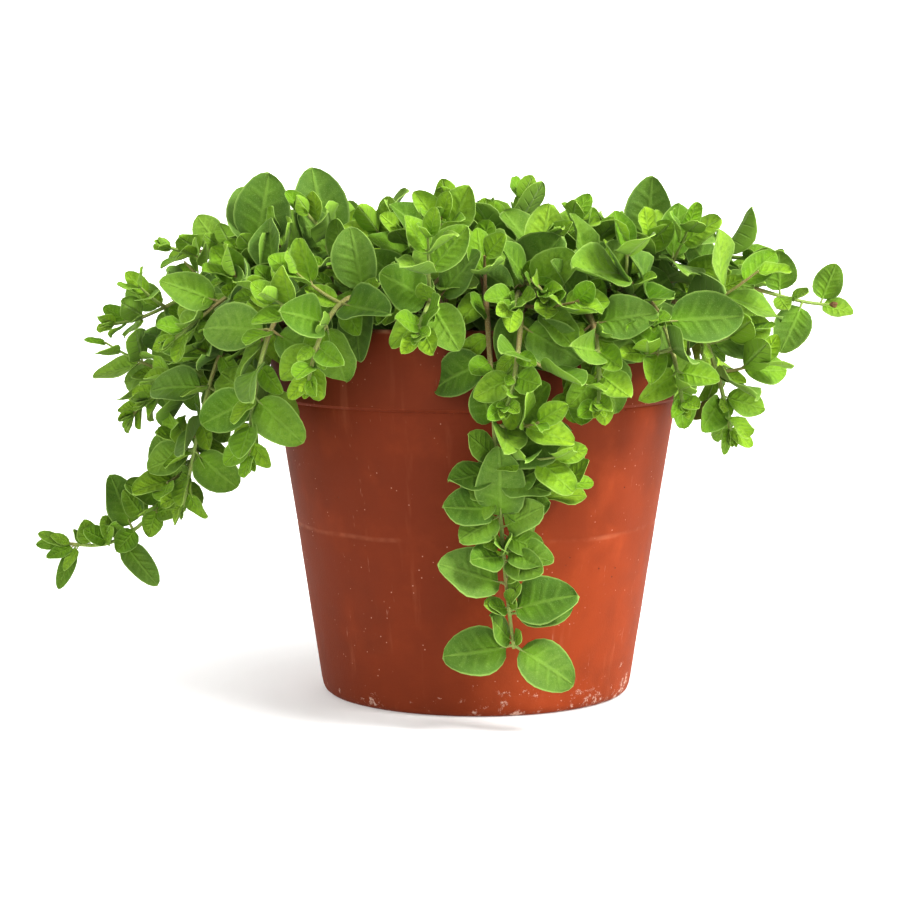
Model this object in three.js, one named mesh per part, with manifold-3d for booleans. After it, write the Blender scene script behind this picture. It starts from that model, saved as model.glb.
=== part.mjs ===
// Potted oregano: a clay pot of soil planted with upright, arching and trailing sprigs.
// Millimetres, +Z up. Origin: on the pot's axis, in the plane the pot stands on. Front is -Y.
import * as THREE from 'three';
import Module from 'manifold-3d';
import { mergeVertices } from 'three/addons/utils/BufferGeometryUtils.js';

const wasm = await Module();
wasm.setup();

// ---------- driving dimensions ----------
const POT_HEIGHT = 126;
const BASE_RADIUS = 49.5;        // flat ring the pot stands on
const CORNER_RADIUS = 52.7;      // where the rounded lower corner meets the wall
const CORNER_HEIGHT = 4;
const BODY_TOP_RADIUS = 67.5;    // wall just under the rim band
const BAND_BOTTOM = 100.6;       // underside of the rim band
const BAND_BOTTOM_RADIUS = 69;
const RIM_RADIUS = 70.4;
const FLOOR_THICKNESS = 8;
const INNER_BASE_RADIUS = 45;
const INNER_RIM_RADIUS = 63.2;
const POT_SIDES = 44;
const SOIL_SIDES = 24;
const DRAIN_RADIUS = 5;
const DRAIN_CIRCLE = 26;
const DRAIN_COUNT = 3;
const SOIL_TOP = 112;            // soil level at the roots
const GAP = 0.3;                 // clearance between neighbouring solids
const STEM_RADIUS = 0.9;
const ROOT_DEPTH = 7;
const LEAF_THICKNESS = 0.8;
const SMALLEST_LEAF = 11.5;       // shorter ones are left out of these solids

// ---------- the planting plan ----------
// path: root, two handles and tip of each stem's curve. pairs: opposite leaf pairs that follow
// the growth rule. own: single leaves as [distance from tip, bearing, lean to front, length].
const sprig = (name, path, pairs, leaf, phase, own = []) => ({ name, path, pairs, leaf, phase, own });
const PLACED = [
  sprig('sprig_front_hanging', [[2, -30], [1, -80, 188], [4, -94, 74], [11, -75, 27]], 0, 22, 20, [
    [1, 188, 12, 20], [1, -28, 15, 20], [2, 130, 35, 13], [2, 60, 50, 7], [13, 22, 20, 20],
    [12, 8, -12, 18], [14, 165, 45, 8], [14, 80, 45, 8], [22, 160, 20, 21], [33, -5, 30, 15],
    [34, 150, 30, 8], [33, 60, 55, 8], [42, 92, 25, 22], [44, 15, 5, 14], [50, 205, 15, 13],
    [54, 165, 20, 13], [62, 28, 20, 22], [62, 140, 30, 12], [72, 110, 30, 14], [72, -20, 30, 10]]),
  sprig('sprig_left_trailing', [[-35, -12], [-70, -18, 200], [-84, -20, 38], [-138, -10, 51]], 0, 24, 60, [
    [1, 176, 10, 10, 0.55], [2, 150, 30, 8, 0.55], [3, 246, 15, 14, 0.5], [4, 236, 35, 9, 0.55],
    [6, 118, 30, 7, 0.6], [17, 112, 25, 9], [17, 75, 45, 8], [19, -50, 25, 19, 0.62],
    [24, 112, 15, 18], [34, 70, 25, 13], [36, 250, 20, 9], [47, -50, 25, 12], [47, 110, 10, 15],
    [53, 200, 20, 12], [58, 60, 20, 14], [60, 160, 25, 15], [66, 250, 20, 12], [72, 80, 25, 14],
    [72, -60, 30, 14], [84, 150, 20, 15], [84, 20, 35, 13]]),
  sprig('sprig_right_trailing', [[34, 8], [66, 10, 160], [92, 8, 132], [120, 4, 131]], 0, 20, 30, [
    [3, 72, 10, 13], [4, -15, 20, 11], [9, 245, 20, 17], [14, 20, 45, 8], [17, 95, 15, 14],
    [18, -60, 50, 8], [27, 70, 10, 13], [28, -80, 30, 11], [40, 120, 20, 16], [40, -20, 30, 16],
    [53, 60, 20, 18], [54, 200, 20, 16]]),
  sprig('sprig_left_middle', [[-38, 4], [-70, 5, 166], [-92, 2, 104], [-112, 0, 99]], 7, 18, 30),
  sprig('sprig_left_low', [[-36, -24], [-82, -36, 176], [-90, -36, 92], [-97, -30, 66]], 7, 18, 10),
  sprig('sprig_left_outer', [[-30, 14], [-84, 25, 170], [-102, 22, 112], [-119, 14, 92]], 7, 17, 45),
  sprig('sprig_left_upper', [[-26, 24], [-75, 32, 172], [-96, 22, 126], [-125, 12, 124]], 7, 17, 45),
  sprig('sprig_left_top', [[-16, 34], [-58, 44, 170], [-90, 36, 142], [-107, 28, 150]], 7, 18, 15),
  sprig('sprig_left_folded', [[-32, -19], [-62, -34, 166], [-85, -42, 130], [-98, -46, 122]], 7, 20, 0),
  sprig('sprig_front_left_low', [[-26, -34], [-60, -64, 176], [-72, -70, 112], [-72, -66, 86]], 6, 20, 40),
  sprig('sprig_front_left', [[-16, -40], [-40, -66, 160], [-50, -84, 126], [-52, -88, 112]], 6, 20, 0),
  sprig('sprig_front_rosette_1', [[-7, -44], [-12, -64, 152], [-17, -80, 132], [-19, -92, 126]], 5, 20, 45),
  sprig('sprig_front_rosette_2', [[12, -36], [14, -56, 152], [12, -72, 134], [10, -84, 134]], 5, 20, 0),
  sprig('sprig_front_rosette_3', [[10, -47], [16, -76, 164], [12, -88, 108], [8, -97, 105]], 6, 20, 0),
  sprig('sprig_front_rosette_4', [[22, -40], [36, -68, 162], [38, -80, 112], [36, -91, 105]], 6, 20, 30),
  sprig('sprig_front_right_low', [[32, -34], [56, -56, 166], [62, -66, 114], [63, -77, 104]], 6, 22, 30),
  sprig('sprig_front_right', [[25, -26], [40, -52, 154], [50, -66, 136], [53, -78, 130]], 5, 23, 45,
    [[30, 88, 20, 24]]),
  sprig('sprig_right_low', [[38, -18], [68, -32, 166], [79, -38, 108], [82, -40, 92]], 6, 23, 45),
  sprig('sprig_right_upper', [[20, 27], [58, 30, 160], [84, 18, 144], [101, 8, 147]], 6, 20, 20),
  sprig('sprig_tall_left', [[-24, 6], [-40, 8, 136], [-64, 0, 146], [-76, -6, 150]], 4, 24, 20,
    [[2, 78, 10, 24], [3, 100, -10, 22]]),
  sprig('sprig_broad_left', [[-20, -4], [-30, -6, 136], [-44, -14, 148], [-52, -20, 149]], 4, 26, 60,
    [[3, 98, 8, 27], [4, 60, 5, 24], [6, 135, 10, 24]]),
  sprig('sprig_broad_front', [[4, -20], [6, -30, 130], [8, -44, 136], [10, -54, 137]], 4, 24, 15,
    [[2, 42, 15, 27], [4, 142, 20, 24]]),
  sprig('sprig_tall_right', [[22, 4], [34, 6, 136], [52, 6, 148], [60, 4, 152]], 4, 25, 30,
    [[2, 90, 12, 21], [3, 20, 20, 22], [5, 130, 10, 22]]),
];
const CROWN_COUNT = 14;   // upright sprigs spread over the soil on a golden-angle spiral
const BACK_COUNT = 9;     // sprigs that fall over the back of the rim
// sprigs that lean out just above the rim, all round: the bearing of each in degrees
const SHOULDERS = [6, 54, 68, 100, 130, 150, 190, 220, 250, 284, 308, 340];

function crownSprig(i) {
  const turn = (137.508 * i + 50) * Math.PI / 180, spread = Math.sqrt((i + 0.5) / CROWN_COUNT);
  const c = Math.cos(turn), s = Math.sin(turn), r = 5 + 30 * spread, R = 12 + 62 * spread;
  const top = 163 - 8 * spread + [6, -2, 1][i % 3];
  return sprig(`sprig_crown_${String(i + 1).padStart(2, '0')}`,
    [[r * c, r * s], [r * 1.15 * c, r * 1.15 * s, SOIL_TOP + 26],
      [R * 0.82 * c, R * 0.82 * s, top - 12], [R * c, R * s, top]], 4, 25, (i * 50) % 90);
}

function backSprig(i) {
  const turn = (14 + i * 152 / (BACK_COUNT - 1)) * Math.PI / 180;
  const c = Math.cos(turn), s = Math.sin(turn), R = 97 + 6 * Math.sin(i * 2.1);
  const z = 108 + 16 * Math.cos(i * 1.7);
  return sprig(`sprig_back_${String(i + 1).padStart(2, '0')}`,
    [[45 * c, 45 * s], [76 * c, 76 * s, 168], [(R - 8) * c, (R - 8) * s, z + 4], [R * c, R * s, z]],
    6, 21, (i * 35) % 90);
}

function shoulderSprig(bearing, i) {
  const turn = bearing * Math.PI / 180;
  const c = Math.cos(turn), s = Math.sin(turn), R = 79 + 5 * Math.sin(i * 2.4);
  const z = 139 + 5 * Math.cos(i * 1.9);
  return sprig(`sprig_shoulder_${String(i + 1).padStart(2, '0')}`,
    [[37 * c, 37 * s], [46 * c, 46 * s, 146], [(R - 14) * c, (R - 14) * s, z + 6], [R * c, R * s, z]],
    5, 21, (i * 65) % 90);
}

const SPRIGS = [...PLACED,
  ...Array.from({ length: CROWN_COUNT }, (_, i) => crownSprig(i)),
  ...Array.from({ length: BACK_COUNT }, (_, i) => backSprig(i)),
  ...SHOULDERS.map(shoulderSprig)];

// ---------- small helpers ----------
const vec = (x, y, z) => new THREE.Vector3(x, y, z);
const step = (p, d, k) => p.clone().addScaledVector(d, k);
const radians = THREE.MathUtils.degToRad;
const UP = vec(0, 0, 1);

function makeRandom(seed) {
  let state = (seed * 2654435761 + 12345) % 4294967296;
  return (a, b) => {
    state = (state * 1664525 + 1013904223) % 4294967296;
    return a + (b - a) * state / 4294967296;
  };
}

function solidOf(geometry) {
  geometry.deleteAttribute('normal');
  geometry.deleteAttribute('uv');
  const merged = mergeVertices(geometry, 1e-4);
  return new wasm.Manifold(new wasm.Mesh({ numProp: 3,
    vertProperties: new Float32Array(merged.attributes.position.array),
    triVerts: new Uint32Array(merged.index.array) }));
}

function geometryOf(solid) {
  const mesh = solid.getMesh(), geometry = new THREE.BufferGeometry();
  geometry.setAttribute('position', new THREE.BufferAttribute(new Float32Array(mesh.vertProperties), 3));
  geometry.setIndex(new THREE.BufferAttribute(new Uint32Array(mesh.triVerts), 1));
  geometry.computeVertexNormals();
  return geometry;
}

function turnedSolid(profile, sides) {
  const points = profile.map(([r, z]) => new THREE.Vector2(r, z));
  return solidOf(new THREE.LatheGeometry(points, sides).rotateX(Math.PI / 2));
}

// A straight peg from one point to another.
function peg(from, to, radius, sides) {
  const length = from.distanceTo(to), geometry = new THREE.CylinderGeometry(radius, radius, length, sides);
  const turn = new THREE.Quaternion().setFromUnitVectors(vec(0, 1, 0), step(to, from, -1).normalize());
  geometry.applyQuaternion(turn);
  const middle = step(from, to, 1).multiplyScalar(0.5);
  return solidOf(geometry.translate(middle.x, middle.y, middle.z));
}

// ---------- pot and soil ----------
function potSolid() {
  let pot = turnedSolid([[0, 0], [BASE_RADIUS, 0], [BASE_RADIUS + 2.2, 1.3], [CORNER_RADIUS, CORNER_HEIGHT],
    [BODY_TOP_RADIUS, BAND_BOTTOM - 0.8], [BAND_BOTTOM_RADIUS, BAND_BOTTOM],
    [RIM_RADIUS, POT_HEIGHT - 1.2], [RIM_RADIUS - 1.1, POT_HEIGHT],
    [INNER_RIM_RADIUS, POT_HEIGHT],
    [INNER_BASE_RADIUS, FLOOR_THICKNESS], [0, FLOOR_THICKNESS]], POT_SIDES);
  for (let i = 0; i < DRAIN_COUNT; i++) {
    const turn = 2 * Math.PI * (i + 0.25) / DRAIN_COUNT;
    const x = DRAIN_CIRCLE * Math.cos(turn), y = DRAIN_CIRCLE * Math.sin(turn);
    pot = pot.subtract(peg(vec(x, y, -5), vec(x, y, FLOOR_THICKNESS + 5), DRAIN_RADIUS, 12));
  }
  return pot;
}

const innerRadius = (z) => INNER_BASE_RADIUS
  + (INNER_RIM_RADIUS - INNER_BASE_RADIUS) * (z - FLOOR_THICKNESS) / (POT_HEIGHT - FLOOR_THICKNESS);

function soilSolid(lines) {
  const floor = FLOOR_THICKNESS + GAP, edge = SOIL_TOP - 1.5;
  let soil = turnedSolid([[0, floor], [innerRadius(floor) - GAP - 0.2, floor],
    [innerRadius(edge) - GAP - 0.2, edge], [40, SOIL_TOP + 0.4], [0, SOIL_TOP + 1]], SOIL_SIDES);
  for (const line of lines) {
    const out = step(line.points[1], line.points[0], -1).normalize(), root = line.points[0];
    soil = soil.subtract(peg(step(root, out, -ROOT_DEPTH - GAP), step(root, out, 9), STEM_RADIUS + 0.9, 4));
  }
  return soil;
}

// ---------- stems ----------
function stemLine({ path }) {
  const [a, b, c, d] = path.map(([x, y, z = SOIL_TOP]) => vec(x, y, z));
  const points = [], run = [0];
  for (let i = 0; i <= 24; i++) {
    const t = i / 24, u = 1 - t;
    points.push(a.clone().multiplyScalar(u * u * u).addScaledVector(b, 3 * u * u * t)
      .addScaledVector(c, 3 * u * t * t).addScaledVector(d, t * t * t));
    if (i) run.push(run[i - 1] + points[i].distanceTo(points[i - 1]));
  }
  return { points, run, total: run[24] };
}

function along({ points, run }, distance) {
  let i = 0;
  while (i < run.length - 2 && run[i + 1] < distance) i++;
  const ahead = step(points[i + 1], points[i], -1);
  const p = step(points[i], ahead, (distance - run[i]) / (run[i + 1] - run[i]));
  return [p, ahead.normalize()];
}

function stemSolid(line) {
  const out = step(line.points[1], line.points[0], -1).normalize();
  const route = [step(line.points[0], out, -ROOT_DEPTH), ...line.points.filter((_, i) => i % 2 === 0)];
  const curve = new THREE.CatmullRomCurve3(route);
  const section = new THREE.Shape();
  for (let i = 0; i < 4; i++) {
    const a = Math.PI * i / 2;
    section[i ? 'lineTo' : 'moveTo'](STEM_RADIUS * Math.cos(a), STEM_RADIUS * Math.sin(a));
  }
  return solidOf(new THREE.ExtrudeGeometry(section,
    { steps: Math.round(line.total / 8.5) + 1, bevelEnabled: false, extrudePath: curve }));
}

// ---------- leaves ----------
// Half width of a leaf, as a share of its widest, at v of its length.
const leafWidth = (v) => (v > 0 && v < 1 ? Math.sin(Math.PI * v ** 0.78) ** 0.62 : 0);

function leafPoint(leaf, v, across, lift = 0) {
  const side = vec(0, 0, 0).crossVectors(leaf.normal, leaf.along);
  const w = leafWidth(v) * leaf.width / 2 * Math.abs(across);
  return step(leaf.base, leaf.along, leaf.length * v)
    .addScaledVector(side, Math.sign(across) * w * Math.cos(leaf.fold))
    .addScaledVector(leaf.normal, w * Math.sin(leaf.fold) + lift);
}

const SPOTS = [[0.3, 0], [0.55, 0], [0.8, 0], [1, 0], [0.2, 1], [0.2, -1], [0.45, 1], [0.45, -1],
  [0.7, 1], [0.7, -1], [0.38, 0.5], [0.38, -0.5], [0.65, 0.5], [0.65, -0.5]];

function potWall(z) {
  if (z < CORNER_HEIGHT) return BASE_RADIUS + (CORNER_RADIUS - BASE_RADIUS) * z / CORNER_HEIGHT;
  if (z < BAND_BOTTOM) {
    return CORNER_RADIUS + (BODY_TOP_RADIUS - CORNER_RADIUS) * (z - CORNER_HEIGHT)
      / (BAND_BOTTOM - CORNER_HEIGHT);
  }
  return BAND_BOTTOM_RADIUS + (RIM_RADIUS - BAND_BOTTOM_RADIUS) * (z - BAND_BOTTOM)
    / (POT_HEIGHT - BAND_BOTTOM);
}

function touchesPot(p) {
  const r = Math.hypot(p.x, p.y);
  return (p.z < 128 && r > 61.5 && r < potWall(Math.min(p.z, POT_HEIGHT)) + 1.5)
    || (p.z < 117 && r <= 63) || (p.z < 100 && r < potWall(p.z) + 1.5) || p.z < 3;
}

const nearer = (these, those, limit) => these.some((p) => those.some((q) => p.distanceToSquared(q) < limit * limit));

// A leaf keeps its distance from the pot, from the leaves placed before it and from other stems.
function hasRoom(leaf, placed, clouds) {
  leaf.spots = SPOTS.map(([v, across]) => leafPoint(leaf, v, across));
  if (leaf.spots.some(touchesPot)) return false;
  for (const other of placed) {
    let gap = 0.13 * (leaf.length + other.length) / 2 + 0.5;
    if (leaf.centre.distanceTo(other.centre) > 0.5 * (leaf.length + other.length) + gap + 2) continue;
    if (other.owner === leaf.owner) gap *= 0.7;
    if (nearer(leaf.spots, other.spots, gap)) return false;
  }
  const limit = 0.09 * leaf.length + 1.3;
  return !clouds.some((cloud, i) => i !== leaf.owner && nearer(leaf.spots, cloud, limit));
}

// Tries a leaf as grown, then turned a little further toward open air, up to five times.
function placeLeaf(raw, toward, placed, clouds, grown) {
  for (let j = 0; j < 5; j++) {
    const direction = step(raw.along, toward, 0.16 * j).normalize();
    const normal = step(raw.normal, direction, -raw.normal.dot(direction)).normalize();
    const size = 1 - 0.06 * j, length = raw.length * size;
    const base = step(raw.stem, direction, 0.8 + 2 * raw.age);
    const leaf = { ...raw, along: direction, normal, length, width: raw.width * size, base,
      centre: step(base, direction, length / 2) };
    if (hasRoom(leaf, placed, clouds)) {
      placed.push(leaf);
      grown.push(leaf);
      return;
    }
  }
}

function ownLeaf([distance, bearing, lean, length, slim = 1], index, k, line) {
  const random = makeRandom(index * 1000 + 500 + k);
  const [stem] = along(line, line.total - distance);
  const b = radians(bearing), l = radians(lean);
  const direction = vec(Math.cos(b) * Math.cos(l), -Math.sin(l), Math.sin(b) * Math.cos(l));
  const face = vec(random(-0.2, 0.2), -0.85, 0.55);
  const normal = step(face, direction, -face.dot(direction)).normalize();
  return { owner: index, stem, along: direction, normal, length,
    width: length * random(0.72, 0.82) * slim, fold: radians(random(6, 16)), age: Math.min(1, length / 22) };
}

function pairLeaf(plan, index, k, side, distance, line) {
  const random = makeRandom(index * 1000 + k * 2 + side);
  const [stem, ahead] = along(line, line.total - distance);
  const ends = step(line.points[24], line.points[0], -1);
  const sideways = vec(0, 0, 0).crossVectors(ends, UP).add(vec(0.001, 0, 0)).normalize();
  const a = step(sideways, ahead, -sideways.dot(ahead)).normalize();
  const b = vec(0, 0, 0).crossVectors(ahead, a), age = Math.min(1, distance / 32);
  const turn = radians(plan.phase + 90 * (k % 2) + 180 * side + random(-12, 12));
  const spoke = a.multiplyScalar(Math.cos(turn)).addScaledVector(b, Math.sin(turn));
  const spread = radians(34 + 42 * age + random(-8, 8));
  const direction = ahead.clone().multiplyScalar(Math.cos(spread)).addScaledVector(spoke, Math.sin(spread));
  const inward = ahead.clone().multiplyScalar(Math.sin(spread)).addScaledVector(spoke, -Math.cos(spread));
  const out = vec(stem.x, stem.y, 0).normalize();
  const sky = out.clone().multiplyScalar(0.5).addScaledVector(UP, 0.75).add(vec(0, -0.35, 0)).normalize();
  const normal = inward.multiplyScalar(0.35).addScaledVector(step(sky, direction, -sky.dot(direction)), 0.85);
  direction.addScaledVector(UP, random(-0.1, 0.14)).normalize();
  const length = plan.leaf * (0.36 + 0.64 * Math.min(1, distance / 22)) * random(0.88, 1.08);
  return [{ owner: index, stem, along: direction, normal, length, width: length * random(0.7, 0.8),
    fold: radians(random(6, 26)), age }, out.multiplyScalar(0.4).addScaledVector(UP, 0.6)];
}

// All leaves of one sprig: its own single leaves first, then pairs from the tip backward.
function growLeaves(plan, index, line, placed, clouds) {
  const grown = [];
  plan.own.forEach((own, k) => {
    placeLeaf(ownLeaf(own, index, k, line), vec(0, -0.6, 0.4), placed, clouds, grown);
  });
  for (let k = 0, distance = 1.5; k < plan.pairs && distance <= line.total - 12; k++) {
    for (const side of [0, 1]) {
      const [leaf, toward] = pairLeaf(plan, index, k, side, distance, line);
      placeLeaf(leaf, toward, placed, clouds, grown);
    }
    distance += Math.min(11.5, 4 + 2 * k);
  }
  return grown;
}

// A thin folded blade on a short stalk, in rings of four points: left, top, right, under.
function leafSolid(leaf, thickness = LEAF_THICKNESS, grow = 0) {
  const stalk = step(leaf.stem, leaf.along, 0.25), side = vec(0, 0, 0).crossVectors(leaf.normal, leaf.along);
  const rings = [[step(stalk, side, 0.5), step(stalk, leaf.normal, 0.45),
    step(stalk, side, -0.5), step(stalk, leaf.normal, -0.45)]];
  for (const v of [0.28, 0.68]) {
    rings.push([step(leafPoint(leaf, v, 1), side, grow), leafPoint(leaf, v, 0, thickness * 0.4),
      step(leafPoint(leaf, v, -1), side, -grow), leafPoint(leaf, v, 0, -thickness * 0.6)]);
  }
  const points = [...rings.flat(), leafPoint(leaf, 1, 0)], index = [0, 2, 1, 0, 3, 2];
  for (let ring = 0; ring < rings.length; ring++) {
    for (let i = 0; i < 4; i++) {
      const a = ring * 4 + i, b = ring * 4 + (i + 1) % 4;
      if (ring === rings.length - 1) index.push(a, b, 12);
      else index.push(a, b, a + 4, b, b + 4, a + 4);
    }
  }
  const geometry = new THREE.BufferGeometry().setFromPoints(points);
  geometry.setIndex(index);
  return solidOf(geometry);
}

// ---------- assembly ----------
function near(a, b) {
  const p = a.boundingBox(), q = b.boundingBox();
  return [0, 1, 2].every((i) => p.min[i] < q.max[i] && q.min[i] < p.max[i]);
}

// Joins a stem with those of its leaves that grow from it and are clear of every other sprig.
function sprigSolid(index, stems, leaves, done) {
  let solid = stems[index];
  const others = [...done, ...stems.filter((_, i) => i > index)];
  for (const leaf of leaves) {
    if (leaf.length < SMALLEST_LEAF) continue;
    const guard = leafSolid(leaf, LEAF_THICKNESS + 0.6, 0.3);
    if (others.some((other) => near(guard, other) && guard.intersect(other).volume() > 0)) continue;
    const blade = leafSolid(leaf);
    if (blade.intersect(stems[index]).volume() > 0.05) solid = solid.add(blade);
  }
  return solid;
}

function addMesh(group, name, solid, color, roughness) {
  const mesh = new THREE.Mesh(geometryOf(solid),
    new THREE.MeshStandardMaterial({ color, roughness, metalness: 0, flatShading: true }));
  mesh.name = name;
  group.add(mesh);
}

function build() {
  const group = new THREE.Group(), lines = SPRIGS.map(stemLine), placed = [], done = [];
  const clouds = lines.map((line) => {
    const cloud = [];
    for (let d = 4; d < line.total; d += 3) cloud.push(along(line, d)[0]);
    return cloud;
  });
  addMesh(group, 'pot', potSolid(), 0xa9532f, 0.85);
  addMesh(group, 'potting_soil', soilSolid(lines), 0x3b2a1f, 1);
  const stems = lines.map(stemSolid), greens = [0x6f9f4a, 0x7fae52, 0x5f9145];
  const leaves = SPRIGS.map((plan, i) => growLeaves(plan, i, lines[i], placed, clouds));
  SPRIGS.forEach((plan, i) => {
    const solid = sprigSolid(i, stems, leaves[i], done);
    done.push(solid);
    addMesh(group, plan.name, solid, greens[i % 3], 0.8);
  });
  return group;
}

export default build();
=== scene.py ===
import math

import bmesh
import bpy
import numpy as np
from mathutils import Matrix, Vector, noise


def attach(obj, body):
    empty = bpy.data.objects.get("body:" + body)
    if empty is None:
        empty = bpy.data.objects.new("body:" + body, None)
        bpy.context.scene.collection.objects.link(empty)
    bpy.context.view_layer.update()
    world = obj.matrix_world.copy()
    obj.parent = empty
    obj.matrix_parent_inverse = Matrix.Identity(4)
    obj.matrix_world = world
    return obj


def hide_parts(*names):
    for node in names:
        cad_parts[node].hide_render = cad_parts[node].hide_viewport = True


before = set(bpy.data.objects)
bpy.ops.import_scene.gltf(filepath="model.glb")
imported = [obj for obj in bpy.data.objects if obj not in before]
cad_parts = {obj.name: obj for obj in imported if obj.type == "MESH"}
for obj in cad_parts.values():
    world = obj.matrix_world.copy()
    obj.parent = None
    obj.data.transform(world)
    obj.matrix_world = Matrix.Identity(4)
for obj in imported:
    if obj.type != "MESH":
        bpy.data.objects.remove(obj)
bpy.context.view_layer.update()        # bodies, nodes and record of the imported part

bl_info = {
    "name": "Potted Oregano",
    "version": (1, 0, 0),
    "blender": (4, 5, 0),
    "location": "View3D > Sidebar > Oregano",
    "description": "A clay pot of spreading oregano, sprig by sprig",
    "category": "Add Mesh",
}

MM = 0.001               # growth is worked out in millimetres, meshes are in metres

# ---------------------------------------------------------------- sizes of the pot, mm
POT_HEIGHT = 126.0
BASE_RADIUS = 49.5
CORNER_RADIUS = 52.7
CORNER_HEIGHT = 4.0
BODY_TOP_RADIUS = 67.5
BAND_BOTTOM = 100.6
BAND_BOTTOM_RADIUS = 69.0
RIM_RADIUS = 70.4
SOIL_TOP = 112.0
TOP_OF_SHOOTS = 158.0     # no side shoot ends higher than this

# share of the usual gap that each kind of later leaf has to keep from its neighbours
HANGING_EASE = 0.3
SHOOT_EASE = 0.7
FILL_EASE = 0.8
TIP_EASE = 0.35

SHOOT_PAIRS = (1.2, 7.0, 15.0)     # where a side shoot's leaf pairs sit, mm from its tip

# ---------------------------------------------------------------- stage, metres and watts
LAMPS = (
    ("key_light", (0.82, -0.62, 1.02), (0, 0, 0.09), 0.42, 25.0),
    ("top_light", (0.15, -0.20, 1.30), (0, 0, 0.10), 0.7, 5.5),
    ("fill_light", (-1.2, -1.0, 0.6), (0, 0, 0.10), 1.2, 1.0),
    ("rim_light", (0.2, 1.2, 0.9), (0, 0, 0.12), 0.9, 4.0),
)
AIR_STRENGTH = 0.20
VIEW_GAMMA = 0.8
FLOOR_THICKNESS = 8.0
INNER_BASE_RADIUS = 45.0
INNER_RIM_RADIUS = 63.2
SEAM_HEIGHT = 58.3

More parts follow.
